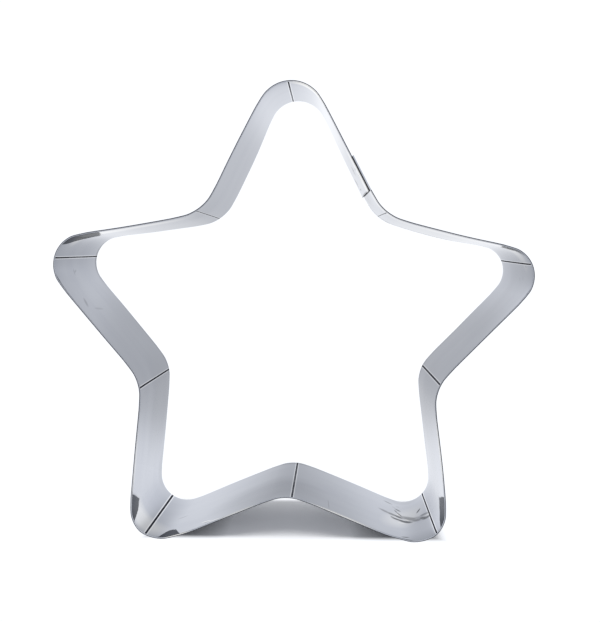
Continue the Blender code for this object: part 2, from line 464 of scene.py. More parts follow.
# How far from a dish's middle its heat tints and its dullness start and are full. Straw is full
# where blue starts.
STRAW_START = 1.6 * DISH_RADIUS
BLUE_START = 1.1 * DISH_RADIUS
BLUE_FULL = 0.8 * DISH_RADIUS
DULL_START = 1.3 * DISH_RADIUS
DULL_FULL = 0.9 * DISH_RADIUS
TINT_STRENGTH = 0.5
CUT_REACH = 0.25 * MM
# Where the land ends and how softly: the inner edge of the cut is at -1 and the outer one at 1.
LAND_EDGE = -0.1
LAND_FADE = 0.1
# The lap shifts that scale so far that its outer layer is all land and its inner one all cut.
LAP_LAND = -1.25
# What is left of the cut's roughness at the outer layer's end.
DRESSED_END = 0.4
# The share of a stroke's half width that has its full strength.
STROKE_CORE = 0.45
# Roughness: bare and under the film, and what the grain, dishes, scuffs and cuts add.
MIRROR_ROUGHNESS = (0.03, 0.05)
GRAIN_ROUGHNESS = 0.01
DISH_ROUGHNESS = 0.22
SCUFF_ROUGHNESS = 0.2
CUT_ROUGHNESS = 0.4


def add_node(tree, kind, *values, inputs=None, **settings):
    """Add a node: its settings, then its inputs in order and by name, each a value or a link."""
    node = tree.nodes.new(kind)
    for name, value in settings.items():
        setattr(node, name, value)
    for key, value in (dict(enumerate(values)) | (inputs or {})).items():
        if isinstance(value, bpy.types.Node):
            value = next(socket for socket in value.outputs if socket.enabled)
        if isinstance(value, bpy.types.NodeSocket):
            tree.links.new(value, node.inputs[key])
        else:
            node.inputs[key].default_value = value
    return node


def linear(hex_value):
    """An sRGB hex colour as the linear RGBA that Blender's sockets take."""
    channels = [int(hex_value[i:i + 2], 16) / 255 for i in (1, 3, 5)]
    return (*[c / 12.92 if c <= 0.04045 else ((c + 0.055) / 1.055) ** 2.4 for c in channels], 1.0)


steel = bpy.data.materials.new("bright_annealed_stainless")
steel.use_nodes = True
steel_tree = steel.node_tree
steel_node = functools.partial(add_node, steel_tree)
steel_shader = steel_tree.nodes["Principled BSDF"]
steel_shader.inputs["Metallic"].default_value = 1.0

place_on_sheet = steel_node("ShaderNodeAttribute", attribute_name="on_sheet").outputs["Vector"]
weld_distance = steel_node("ShaderNodeAttribute", attribute_name="to_weld").outputs["Fac"]
grain_place = steel_node("ShaderNodeMapping", place_on_sheet,
                         inputs={"Scale": (1 / GRAIN_LENGTH, 1 / GRAIN_WIDTH, FACES_APART)})
grain = steel_node("ShaderNodeTexNoise", inputs={"Vector": grain_place, "Scale": 1.0, "Detail": 3.0})
film_place = steel_node("ShaderNodeMapping", place_on_sheet,
                        inputs={"Scale": (1 / FILM_LENGTH, 1 / FILM_WIDTH, FACES_APART)})
film = steel_node("ShaderNodeTexNoise", inputs={"Vector": film_place, "Scale": 1.0, "Detail": 4.0})
# A Mix node takes its factor in socket 0, and what it mixes in 2 and 3, vectors in 4 and 5, and
# colours in 6 and 7.
film_share = steel_node("ShaderNodeMapRange", film, *FILM_TONES, 0.0, 1.0)
tone = steel_node("ShaderNodeMix", inputs={0: film_share, 6: linear(STEEL_COLOUR), 7: linear(FILM_COLOUR)},
                  data_type="RGBA")

# The heat tints of each dish: straw outside, and blue nearer its middle.
straw_share = steel_node("ShaderNodeMapRange", weld_distance, STRAW_START, BLUE_START, 0.0, TINT_STRENGTH)
tone = steel_node("ShaderNodeMix", inputs={0: straw_share, 6: tone, 7: linear(STRAW_TINT)},
                  data_type="RGBA")
blue_share = steel_node("ShaderNodeMapRange", weld_distance, BLUE_START, BLUE_FULL, 0.0, TINT_STRENGTH)
tone = steel_node("ShaderNodeMix", inputs={0: blue_share, 6: tone, 7: linear(BLUE_TINT)}, data_type="RGBA")

# The scribing tool throws up a burr on both sides of each mark. Its colour is lightened there, a
# painted highlight.
burr = steel_node("ShaderNodeAttribute", attribute_name="on_burr").outputs["Fac"]
tone = steel_node("ShaderNodeMix", inputs={0: burr, 6: tone, 7: linear(BURR_HIGHLIGHT_COLOUR)}, data_type="RGBA")

# The slit rims and the sheared ends of the band are rough, and coloured nearly black: their own
# dull tone with painted shade on top. A slitting knife leaves the rims a bright land along the
# inner face, before the sheet breaks off. On the lap, the outer layer was dressed bright after
# welding, and the inner one was left as it was cut.
sheet_axes = steel_node("ShaderNodeSeparateXYZ", place_on_sheet)
past_middle = steel_node("ShaderNodeMath", sheet_axes.outputs["X"], travel[-1] / 2, operation="SUBTRACT")
from_middle = steel_node("ShaderNodeMath", past_middle, operation="ABSOLUTE")
sheared = steel_node("ShaderNodeMath", from_middle, travel[-1] / 2 - CUT_REACH, operation="GREATER_THAN")
from_midline = steel_node("ShaderNodeMath", sheet_axes.outputs["Y"], operation="ABSOLUTE")
slit = steel_node("ShaderNodeMapRange", from_midline, RING_DEPTH / 2 - CUT_REACH, RING_DEPTH / 2, 0.0, 1.0)
lapped = steel_node("ShaderNodeMath", from_middle, travel[-1] / 2 - LAP_LENGTH, operation="GREATER_THAN")
lap_side = steel_node("ShaderNodeMath", past_middle, operation="SIGN")
lap_side = steel_node("ShaderNodeMath", lap_side, lapped, operation="MULTIPLY")
undressed = steel_node("ShaderNodeMapRange", lap_side, -1.0, 1.0, 1.0, DRESSED_END)
sheared = steel_node("ShaderNodeMath", sheared, undressed, operation="MULTIPLY")
land = steel_node("ShaderNodeMath", lap_side, LAP_LAND, sheet_axes.outputs["Z"], operation="MULTIPLY_ADD")
broken = steel_node("ShaderNodeMapRange", land, LAND_EDGE - LAND_FADE, LAND_EDGE + LAND_FADE, 0.0, 1.0)
slit = steel_node("ShaderNodeMath", slit, broken, operation="MULTIPLY")
cut = steel_node("ShaderNodeMath", sheared, slit, operation="MAXIMUM")
tone = steel_node("ShaderNodeMix", inputs={0: cut, 6: tone, 7: linear(CUT_AND_SHADE_COLOUR)}, data_type="RGBA")

# Single rubs, scratches and smudges on the inner face, from handling and from sliding on the
# bending pegs, and broad strokes of painted shade and painted highlight. In mm along the strip and
# through the ring, from one end of each to the other, then its half width, and how dark it is, or
# below 0 how bright it is.
SCUFFS_AND_PAINTED_LIGHT = (
    # Most of them are at the lower right point.
    (553.0, 23.0, 557.0, 21.5, 1.3, 0.6),
    (557.7, 17.0, 558.5, 16.5, 1.2, 0.25),
    (560.5, 19.5, 561.2, 19.3, 1.2, 0.25),
    (549.0, 5.0, 554.5, 3.0, 2.2, 0.6),
    (553.5, 3.5, 558.5, 2.0, 2.4, 0.75),
    (557.0, 3.0, 561.5, 0.0, 1.8, 1.0),
    (559.0, 14.8, 561.6, 11.8, 1.1, 0.9),
    (558.2, 12.0, 559.4, 8.0, 0.8, 0.8),
    (559.0, 9.0, 562.0, 2.8, 0.8, 1.0),
    (559.4, 6.8, 561.0, 3.0, 0.9, -0.9),
    (560.5, 2.5, 566.5, 1.0, 3.6, 0.6),
    (563.0, 1.8, 569.0, -1.2, 3.4, 0.7),
    (566.0, -1.0, 573.5, -2.5, 5.0, 0.5),
    (567.5, -3.0, 571.5, -4.0, 2.4, 0.7),
    (555.0, -1.2, 557.0, -3.2, 1.2, 0.8),
    (555.8, -3.0, 560.0, -3.6, 1.8, 1.0),
    (558.6, -3.3, 563.0, -5.0, 1.9, 1.0),
    (561.0, -4.8, 566.0, -5.2, 2.2, 1.0),
    (563.5, -1.0, 565.2, -2.6, 1.0, -1.0),
    (558.0, -8.0, 563.0, -7.6, 1.0, -0.6),
    (572.0, -2.0, 575.0, -5.0, 1.8, 0.9),
    (573.5, -5.2, 577.5, -6.3, 1.9, 0.9),
    (573.0, 1.0, 576.0, 0.2, 1.8, 0.7),
    (575.0, 0.4, 577.5, -1.4, 1.8, 0.6),
    (574.0, -1.8, 578.0, -3.6, 1.2, -0.4),
    (573.9, 12.2, 570.8, 6.6, 0.8, 1.0),
    (558.0, -29.6, 562.5, -27.8, 0.8, 0.8),
    (515.6, -15.0, 516.6, -31.0, 0.35, 0.3),
    (249.3, -7.2, 252.2, -7.3, 1.0, 0.25),
    (249.8, -3.9, 250.9, -6.5, 0.8, 0.25),
    (268.5, -17.8, 273.2, -21.2, 1.6, 0.35),
    (275.7, -14.9, 277.1, -3.3, 1.0, 0.2),
    (422.8, -4.3, 428.1, -2.0, 0.7, 0.4),
    # Painted highlights along the near rim of the lower left point, with a dark line between them.
    (441.8, -25.5, 448.5, -28.0, 0.8, -0.7),
    (446.0, -29.0, 455.0, -30.6, 0.7, -0.6),
    (443.5, -27.0, 447.0, -28.6, 0.6, 0.5),
    (738.2, -21.0, 738.8, -21.8, 0.9, 0.45),
    (732.0, -6.9, 729.3, -10.7, 1.0, 0.25),
    (732.6, -13.5, 730.3, -15.5, 1.0, 0.25),
    # The lap: a dark line at its sheared inner end, a painted highlight along its near rim, and two
    # marks of the electrodes.
    (0.4, -32.0, 0.4, 30.0, 0.9, 0.9),
    (-4.0, -25.0, 24.0, -25.0, 10.0, -1.0),
    (4.2, 11.0, 4.2, 18.0, 0.9, 1.0),
    (14.0, -22.0, 14.0, -16.0, 1.0, 0.6),
    # Painted highlights on the upper arms, along the near rim.
    (42.0, -30.0, 42.0, 30.0, 20.0, -0.45),
    (50.0, -30.0, 70.0, -30.0, 6.0, -1.0),
    (168.0, -23.0, 226.0, -24.5, 7.0, -0.8),
    (204.0, -20.0, 226.0, -19.0, 10.0, -1.0),
    (745.0, -20.5, 812.0, -20.5, 11.0, -1.0),
    (784.0, -30.0, 784.0, 30.0, 32.0, -0.45),
    (808.0, -28.0, 842.0, -28.0, 7.0, -0.7),
    # Painted shade, thin and wide, in the lower arms and in the right point.
    (464.0, -14.0, 496.0, -14.0, 22.0, 0.16),
    (574.0, 6.0, 602.0, 2.0, 26.0, 0.16),
    (616.0, 2.0, 644.0, 2.0, 26.0, 0.12),
    (712.0, -10.0, 736.0, -10.0, 30.0, 0.14),
    (330.0, 12.0, 358.0, 12.0, 26.0, 0.13),
    # The same painted shade along the far rim, at the top and the lower points.
    (382.0, 31.0, 396.0, 31.0, 9.0, 0.14),
    (558.0, 31.0, 570.0, 31.0, 9.0, 0.16),
    (600.0, 31.0, 616.0, 31.0, 9.0, 0.15),
    (62.0, 31.0, 84.0, 31.0, 10.0, 0.13),
    # A stronger painted shade below the lap, and a painted dark reflection on the right point by its
    # near rim.
    (838.0, -6.0, 838.0, 32.0, 16.0, 0.4),
    (752.5, -27.0, 747.5, -29.5, 2.6, 0.8),
    # Painted highlights on the lower points.
    (400.0, -22.0, 411.0, -22.0, 12.0, -0.42),
    (554.0, -12.0, 570.0, 12.0, 10.0, -0.3),
    # Painted shade along the edge of the far rim.
    (735.0, 31.5, 835.0, 31.5, 4.0, 0.9),
    (210.0, 31.5, 264.0, 31.5, 4.0, 0.6),
    (262.0, 31.5, 376.0, 31.5, 3.0, 0.3),
    (464.0, 31.5, 526.0, 31.5, 3.0, 0.3),
    (626.0, 31.5, 714.0, 31.5, 3.0, 0.35),
    # Painted highlights along the near rim, round the lower points.
    (421.0, -32.0, 436.0, -32.0, 2.0, -1.0),
    (453.0, -32.0, 476.0, -32.0, 2.0, -0.6),
    (504.0, -32.0, 544.0, -32.0, 2.0, -0.7),
    (345.0, -32.0, 398.0, -32.0, 3.0, -0.35),
    (604.0, -32.0, 644.0, -32.0, 3.0, -0.7),
)
scuffs_and_painted_shade, rubs_and_painted_highlights = 0.0, 0.0
for *ends, breadth, darkness in SCUFFS_AND_PAINTED_LIGHT:
    start, end = Vector((*ends[:2], 0.0)) * MM, Vector((*ends[2:], 0.0)) * MM
    half_width = breadth * MM
    middle = (start + end) / 2 + Vector((0.0, 0.0, INSIDE))
    bearing = math.atan2(end.y - start.y, end.x - start.x)
    stroke = steel_node("ShaderNodeMapping", place_on_sheet, middle, (0.0, 0.0, bearing),
                        ((end - start).length / 2 + half_width, half_width, 1.0), vector_type="TEXTURE")
    from_stroke = steel_node("ShaderNodeVectorMath", stroke, operation="LENGTH").outputs["Value"]
    shade = steel_node("ShaderNodeMapRange", from_stroke, 1.0, STROKE_CORE, 0.0, abs(darkness))
    if darkness > 0:
        scuffs_and_painted_shade = steel_node("ShaderNodeMath", shade, scuffs_and_painted_shade, operation="MAXIMUM")
    else:
        rubs_and_painted_highlights = steel_node("ShaderNodeMath", shade, rubs_and_painted_highlights, operation="MAXIMUM")
# Real rubs and painted highlights lighten the steel; real scuffs and painted shade darken it.
tone = steel_node("ShaderNodeMix", inputs={0: rubs_and_painted_highlights, 6: tone, 7: linear(POLISH_AND_HIGHLIGHT_COLOUR)},
                  data_type="RGBA")
tone = steel_node("ShaderNodeMix", inputs={0: scuffs_and_painted_shade, 6: tone, 7: linear(SCUFF_AND_SHADE_COLOUR)}, data_type="RGBA")
steel_tree.links.new(tone.outputs[2], steel_shader.inputs["Base Color"])

# Roughness: mirror-bright, a little duller under the film and in the weld dishes, rough where cut.
roughness = steel_node("ShaderNodeMapRange", film, *FILM_DULLS, *MIRROR_ROUGHNESS)
roughness = steel_node("ShaderNodeMath", grain, GRAIN_ROUGHNESS, roughness, operation="MULTIPLY_ADD")
dish_dull = steel_node("ShaderNodeMapRange", weld_distance, DULL_START, DULL_FULL, 0.0, DISH_ROUGHNESS)
roughness = steel_node("ShaderNodeMath", roughness, dish_dull, operation="ADD")
roughness = steel_node("ShaderNodeMath", scuffs_and_painted_shade, SCUFF_ROUGHNESS, roughness, operation="MULTIPLY_ADD")
roughness = steel_node("ShaderNodeMath", cut, CUT_ROUGHNESS, roughness, operation="MULTIPLY_ADD")
steel_tree.links.new(roughness.outputs[0], steel_shader.inputs["Roughness"])
steel_bump = steel_node("ShaderNodeBump", inputs={
    "Height": grain, "Strength": 0.05, "Distance": GRAIN_RELIEF})
steel_tree.links.new(steel_bump.outputs[0], steel_shader.inputs["Normal"])

# The scribed groove: bare scratched steel where the ink has worn off, and nearly black elsewhere.
# The ink breaks up a little along the groove, as it does where it is wiped.
INK_COLOUR = "#0A0F20"
WORN_COLOUR = "#A6A8AD"
INK_BREAKS = 8.0 * MM
BREAK_TONES = (0.35, 0.65)
BREAK_DEPTH = 0.08
WORN_ROUGHNESS = 0.25
INK_ROUGHNESS = 0.7

scribed = bpy.data.materials.new("inked_scribe_in_stainless")
scribed.use_nodes = True
scribed_tree = scribed.node_tree
scribed_node = functools.partial(add_node, scribed_tree)
scribed_shader = scribed_tree.nodes["Principled BSDF"]
# Soot is matt.
scribed_shader.inputs["Specular IOR Level"].default_value = 0.2
ink_share = scribed_node("ShaderNodeAttribute", attribute_name="ink").outputs["Fac"]
break_place = scribed_node("ShaderNodeMapping",
                           scribed_node("ShaderNodeAttribute", attribute_name="on_sheet").outputs["Vector"],
                           inputs={"Scale": (1 / INK_BREAKS, 1 / INK_BREAKS, 1.0)})
breaks = scribed_node("ShaderNodeTexNoise", inputs={"Vector": break_place, "Scale": 1.0, "Detail": 2.0})
uneven = scribed_node("ShaderNodeMapRange", breaks, *BREAK_TONES, -BREAK_DEPTH, BREAK_DEPTH)
ink_share = scribed_node("ShaderNodeMath", ink_share, uneven, operation="ADD", use_clamp=True)
ink_tone = scribed_node("ShaderNodeMix", inputs={
    0: ink_share, 6: linear(WORN_COLOUR), 7: linear(INK_COLOUR)}, data_type="RGBA")
scribed_tree.links.new(ink_tone.outputs[2], scribed_shader.inputs["Base Color"])
bare_share = scribed_node("ShaderNodeMath", 1.0, ink_share, operation="SUBTRACT")
scribed_tree.links.new(bare_share.outputs[0], scribed_shader.inputs["Metallic"])
ink_roughness = scribed_node("ShaderNodeMapRange", ink_share, 0.0, 1.0, WORN_ROUGHNESS, INK_ROUGHNESS)
scribed_tree.links.new(ink_roughness.outputs[0], scribed_shader.inputs["Roughness"])

# The sheet: the tree sweeps the band's section along the line, bends it to both rims, and curls,
# grooves, dents and warps it as the real sheet is.
SHARP_ANGLE = math.radians(35)
# The inner face's points lie half a sheet inwards. This is just short of it.
INNER_FACE = -0.49
# Points are counted in whole numbers, and a face is in a mark only if all its corners are.
SAME_COUNT = 0.1
WHOLE_FACE = 0.99
SOCKET_KINDS = {float: "NodeSocketFloat", int: "NodeSocketInt",
                bpy.types.Object: "NodeSocketObject", bpy.types.Material: "NodeSocketMaterial"}

sheet_tree = bpy.data.node_groups.new("bent_sheet_strip", "GeometryNodeTree")
sheet_node = functools.partial(add_node, sheet_tree)
sheet_tree.interface.new_socket("Geometry", in_out="OUTPUT", socket_type="NodeSocketGeometry")
sheet_tree.interface.new_socket("Line", in_out="INPUT", socket_type="NodeSocketGeometry")
sheet_inputs = {
    "Sheet": SHEET,
    "Depth": RING_DEPTH,
    "Rim Rounding": 0.18 * MM,
    "Rim Steps": 3,
    "Rows": 90,
    "Curl Reach": CURL_REACH,
    "Dish Radius": DISH_RADIUS,
    "Dish Depth": DISH_DEPTH,
    "Waviness": 0.02 * MM,
    "Wave Length": 50.0 * MM,
    "Weld Places": weld_points,
    "Steel": steel,
    "Mark": scribed,
}
socket_names = {}
for name, value in sheet_inputs.items():
    socket_kind = SOCKET_KINDS[type(value)]
    socket = sheet_tree.interface.new_socket(name, in_out="INPUT", socket_type=socket_kind)
    socket_names[name] = socket.identifier
given = sheet_node("NodeGroupInput").outputs
line_fact = {name: sheet_node("GeometryNodeInputNamedAttribute", inputs={"Name": name},
                              data_type="FLOAT" if isinstance(values[0], float) else "FLOAT_VECTOR")
             for name, values in line_facts.items()}

# The section is a thin rectangle with rounded edges, and rows of points on its two long sides.
section = sheet_node("GeometryNodeCurvePrimitiveQuadrilateral",
                     inputs={"Width": given["Sheet"], "Height": given["Depth"]})
section = sheet_node("GeometryNodeFilletCurve", inputs={
    "Curve": section, "Count": given["Rim Steps"], "Radius": given["Rim Rounding"]}, mode="POLY")
corner_points = sheet_node("ShaderNodeMath", given["Rim Steps"], 1.0, operation="ADD")
half_round = sheet_node("ShaderNodeMath", corner_points, 2.0, operation="MULTIPLY")
point_index = sheet_node("GeometryNodeInputIndex")
turn_index = sheet_node("ShaderNodeMath", point_index, half_round, operation="MODULO")
face_start = sheet_node("ShaderNodeMath", half_round, 1.0, operation="SUBTRACT")
long_side = sheet_node("ShaderNodeMath", turn_index, face_start, SAME_COUNT, operation="COMPARE")
cuts = sheet_node("ShaderNodeMath", long_side, given["Rows"], operation="MULTIPLY")
section = sheet_node("GeometryNodeSubdivideCurve", inputs={"Curve": section, "Cuts": cuts})
section_axes = sheet_node("ShaderNodeSeparateXYZ", sheet_node("GeometryNodeInputPosition"))
for name, axis in (("across", "X"), ("depth", "Y")):
    section = sheet_node("GeometryNodeStoreNamedAttribute", inputs={
        "Geometry": section, "Name": name, "Value": section_axes.outputs[axis]}, data_type="FLOAT")
    line_fact[name] = sheet_node("GeometryNodeInputNamedAttribute", inputs={"Name": name})
line_curve = sheet_node("GeometryNodeMeshToCurve", given["Line"])
swept = sheet_node("GeometryNodeCurveToMesh", inputs={
    "Curve": line_curve, "Profile Curve": section, "Fill Caps": True})

# Each point lies between the two rims, and moves in or out by what shapes the sheet there.
share = sheet_node("ShaderNodeMath", line_fact["depth"], given["Depth"], operation="DIVIDE")
share = sheet_node("ShaderNodeMath", share, 0.5, operation="ADD")
place = sheet_node("ShaderNodeMix", inputs={0: share, 4: line_fact["near"], 5: line_fact["far"]},
                   data_type="VECTOR")
outwards = sheet_node("ShaderNodeMix", inputs={
    0: share, 4: line_fact["near_out"], 5: line_fact["far_out"]}, data_type="VECTOR")
face = sheet_node("ShaderNodeMath", line_fact["across"], operation="SIGN")
inner_edge = sheet_node("ShaderNodeMath", given["Sheet"], INNER_FACE, operation="MULTIPLY")
inner = sheet_node("ShaderNodeMath", line_fact["across"], inner_edge, operation="LESS_THAN")
groove = sheet_node("ShaderNodeMath", line_fact["groove"], inner, operation="MULTIPLY")

half_depth = sheet_node("ShaderNodeMath", given["Depth"], 0.5, operation="MULTIPLY")
from_midline = sheet_node("ShaderNodeMath", line_fact["depth"], operation="ABSOLUTE")
past_rim = sheet_node("ShaderNodeMath", from_midline, half_depth, operation="SUBTRACT")
past_rim = sheet_node("ShaderNodeMath", past_rim, given["Curl Reach"], operation="DIVIDE")
fading = sheet_node("ShaderNodeMath", past_rim, operation="EXPONENT")
curl = sheet_node("ShaderNodeMath", line_fact["curl"], fading, operation="MULTIPLY")

on_sheet = sheet_node("ShaderNodeCombineXYZ", line_fact["travel"], line_fact["depth"], face)
welds = sheet_node("GeometryNodeObjectInfo", given["Weld Places"])
to_weld = sheet_node("GeometryNodeProximity", inputs={0: welds.outputs["Geometry"], 2: on_sheet},
                     target_element="POINTS").outputs["Distance"]
dish = sheet_node("ShaderNodeMapRange", to_weld, given["Dish Radius"], 0.0, 0.0, given["Dish Depth"],
                  interpolation_type="SMOOTHSTEP")
inwards = sheet_node("ShaderNodeMath", face, -1.0, operation="MULTIPLY")
dent = sheet_node("ShaderNodeMath", dish, inwards, operation="MULTIPLY")

wave_count = sheet_node("ShaderNodeMath", 1.0, given["Wave Length"], operation="DIVIDE")
ripple = sheet_node("ShaderNodeTexNoise", inputs={"Vector": place, "Scale": wave_count, "Detail": 1.0})
ripple = sheet_node("ShaderNodeMath", ripple, 0.5, operation="SUBTRACT")
wave = sheet_node("ShaderNodeMath", ripple, given["Waviness"], operation="MULTIPLY")

offset = line_fact["across"]
for change in (groove, curl, dent, wave):
    offset = sheet_node("ShaderNodeMath", offset, change, operation="ADD")
shift = sheet_node("ShaderNodeVectorMath", outwards, inputs={"Scale": offset}, operation="SCALE")
target = sheet_node("ShaderNodeVectorMath", place, shift, operation="ADD")
formed = sheet_node("GeometryNodeSetPosition", inputs={"Geometry": swept, "Position": target})

# What the materials read: the place on the sheet, the distance to the nearest weld, and the ink,
# on a curve through its three values.
inks = sheet_node("ShaderNodeSeparateXYZ", line_fact["inks"])
past_midline = sheet_node("ShaderNodeMath", share, 0.5, operation="GREATER_THAN")
half_share = sheet_node("ShaderNodeMath", share, 2.0, operation="MULTIPLY")
near_ink = sheet_node("ShaderNodeMix", inputs={0: half_share, 2: inks.outputs["X"], 3: inks.outputs["Y"]})
half_share = sheet_node("ShaderNodeMath", half_share, 1.0, operation="SUBTRACT")
far_ink = sheet_node("ShaderNodeMix", inputs={0: half_share, 2: inks.outputs["Y"], 3: inks.outputs["Z"]})
ink = sheet_node("ShaderNodeMix", inputs={0: past_midline, 2: near_ink, 3: far_ink})
burr_inside = sheet_node("ShaderNodeMath", line_fact["burr"], inner, operation="MULTIPLY")
for name, value, kind in (("on_sheet", on_sheet, "FLOAT_VECTOR"), ("to_weld", to_weld, "FLOAT"),
                          ("ink", ink, "FLOAT"), ("on_burr", burr_inside, "FLOAT")):
    formed = sheet_node("GeometryNodeStoreNamedAttribute", inputs={
        "Geometry": formed, "Name": name, "Value": value}, data_type=kind)

smoothed = sheet_node("GeometryNodeSetShadeSmooth", inputs={"Geometry": formed})
real = sheet_node("GeometryNodeRealizeInstances", smoothed)
steel_laid = sheet_node("GeometryNodeSetMaterial", inputs={"Geometry": real, "Material": given["Steel"]})
in_mark = sheet_node("ShaderNodeMath", line_fact["scribed"], inner, operation="MULTIPLY")
mark_face = sheet_node("GeometryNodeFieldOnDomain", in_mark, domain="FACE")
whole_face = sheet_node("ShaderNodeMath", mark_face, WHOLE_FACE, operation="GREATER_THAN")
mark_laid = sheet_node("GeometryNodeSetMaterial", inputs={
    "Geometry": steel_laid, "Selection": whole_face, "Material": given["Mark"]})
sheet_node("NodeGroupOutput", mark_laid)

strip = bpy.data.objects.new("star_strip", line_mesh)
bpy.context.scene.collection.objects.link(strip)
modifier = strip.modifiers.new("bent_sheet", "NODES")
modifier.node_group = sheet_tree
for name, value in sheet_inputs.items():
    modifier[socket_names[name]] = value
bpy.context.view_layer.update()
finished_strip = strip.evaluated_get(bpy.context.evaluated_depsgraph_get())
strip_mesh = bpy.data.meshes.new_from_object(finished_strip)
strip.modifiers.clear()
strip.data = strip_mesh
bpy.data.objects.remove(weld_points)
for name in line_fact:
    strip_mesh.attributes.remove(strip_mesh.attributes[name])
shape = bmesh.new()
shape.from_mesh(strip_mesh)
bmesh.ops.recalc_face_normals(shape, faces=shape.faces)
shape.to_mesh(strip_mesh)
shape.free()
strip_mesh.set_sharp_from_angle(angle=SHARP_ANGLE)
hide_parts("strip")
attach(strip, "root")

# The spot welds. Each is a lens-shaped nugget of steel that a burst of current melted between the
# two layers of the lap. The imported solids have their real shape, so they stay. Fused steel is
# dull, grained by its coarse crystals, and stained straw and grey by the heat.
FUSED_COLOUR = "#8C8B88"
STAIN_COLOUR = "#75706A"
CRYSTAL = 0.3 * MM
CRYSTAL_RELIEF = 0.02 * MM
STAIN_SIZE = 0.75 * MM
# How rough a crystal is in its middle and at its rim, which lies this share of its size out.
CRYSTAL_ROUGHNESS = (0.35, 0.6)
CRYSTAL_RIM = 0.8

fused = bpy.data.materials.new("fused_weld_steel")
fused.use_nodes = True
fused_node = functools.partial(add_node, fused.node_tree)
fused_shader = fused.node_tree.nodes["Principled BSDF"]
fused_shader.inputs["Metallic"].default_value = 1.0
fused_place = fused_node("ShaderNodeTexCoord").outputs["Object"]
crystals = fused_node("ShaderNodeTexVoronoi", inputs={"Vector": fused_place, "Scale": 1 / CRYSTAL})
stain = fused_node("ShaderNodeTexNoise", inputs={
    "Vector": fused_place, "Scale": 1 / STAIN_SIZE, "Detail": 3.0})
fused_tone = fused_node("ShaderNodeMix", inputs={
    0: stain, 6: linear(FUSED_COLOUR), 7: linear(STAIN_COLOUR)}, data_type="RGBA")
fused.node_tree.links.new(fused_tone.outputs[2], fused_shader.inputs["Base Color"])
fused_roughness = fused_node("ShaderNodeMapRange", crystals, 0.0, CRYSTAL_RIM, *CRYSTAL_ROUGHNESS)
fused.node_tree.links.new(fused_roughness.outputs[0], fused_shader.inputs["Roughness"])
fused_bump = fused_node("ShaderNodeBump", inputs={
    "Height": crystals, "Strength": 0.4, "Distance": CRYSTAL_RELIEF})
fused.node_tree.links.new(fused_bump.outputs[0], fused_shader.inputs["Normal"])
for weld in range(WELDS):
    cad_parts[f"spot_weld_{weld + 1}"].material_slots[0].material = fused

# The set: a sweep of white paper under a soft light from above, in a white studio. Its sizes and
# places are in metres. What the metal mirrors of it a second time is darker than the first.
STUDIO_TINT = (0.98, 1.0, 1.045, 1.0)
SURROUND = 1.05
TWICE_MIRRORED = 0.35
WORLD_FILL = 0.66
SOFTBOX_WATTS = 12.0
SOFTBOX_SIZE = 0.75
SOFTBOX_PLACE = (0.0, -0.57, 0.82)
SWEEP_SIZE = 0.6
PAPER_COLOUR = "#F6F6F6"
PAPER_GLOW = 0.07
CONTACT_REACH = 0.012
CONTACT_SHADE = 0.6
# Where the paper shows the ring's shadow: its middle, and its half size and its fade, both across
# and back. Round it the paper is as bright as the studio.
SHADOW_MIDDLE = (0.0, 0.005, 0.0)
SHADOW_REACH = (0.076, 0.026)
SHADOW_FADE = (0.010, 0.007)

world = bpy.data.worlds.new("white_studio")
world.use_nodes = True
world_node = functools.partial(add_node, world.node_tree)
background = world.node_tree.nodes["Background"]
background.inputs["Color"].default_value = STUDIO_TINT
ray = world_node("ShaderNodeLightPath").outputs
mirrored = world_node("ShaderNodeMapRange", ray["Glossy Depth"], 1.0, 2.0,
                      SURROUND, SURROUND * TWICE_MIRRORED)
world_level = world_node("ShaderNodeMix", ray["Is Diffuse Ray"], inputs={2: mirrored, 3: WORLD_FILL})
world.node_tree.links.new(world_level.outputs[0], background.inputs["Strength"])
bpy.context.scene.world = world
bpy.context.scene.view_settings.view_transform = "Standard"

softbox = bpy.data.lights.new("overhead_softbox", "AREA")
softbox.size = SOFTBOX_SIZE
softbox.energy = SOFTBOX_WATTS
softbox_lamp = bpy.data.objects.new("overhead_softbox", softbox)
softbox_lamp.location = SOFTBOX_PLACE
softbox_lamp.rotation_euler = (math.atan2(SOFTBOX_PLACE[1], SOFTBOX_PLACE[2]), 0.0, 0.0)
softbox_lamp.visible_glossy = False
softbox_lamp.visible_camera = False
bpy.context.scene.collection.objects.link(softbox_lamp)


def studio_card(name, corner, width, height, material):
    """A flat card of the set, from its low corner and two edges."""
    corner, width, height = Vector(corner), Vector(width), Vector(height)
    mesh = bpy.data.meshes.new(name)
    corners = [corner, corner + width, corner + width + height, corner + height]
    mesh.from_pydata(corners, [], [(0, 1, 2, 3)])
    mesh.materials.append(material)
    card = bpy.data.objects.new(name, mesh)
    bpy.context.scene.collection.objects.link(card)
    return card


paper = bpy.data.materials.new("white_sweep_paper")
paper.use_nodes = True
paper_tree = paper.node_tree
paper_node = functools.partial(add_node, paper_tree)
paper_shader = paper_tree.nodes["Principled BSDF"]
paper_shader.inputs["Roughness"].default_value = 0.9
paper_shader.inputs["Specular IOR Level"].default_value = 0.0
paper_shader.inputs["Emission Color"].default_value = STUDIO_TINT
paper_ray = paper_node("ShaderNodeLightPath").outputs
seen = paper_node("ShaderNodeMath", 1.0, paper_ray["Is Diffuse Ray"], operation="SUBTRACT")
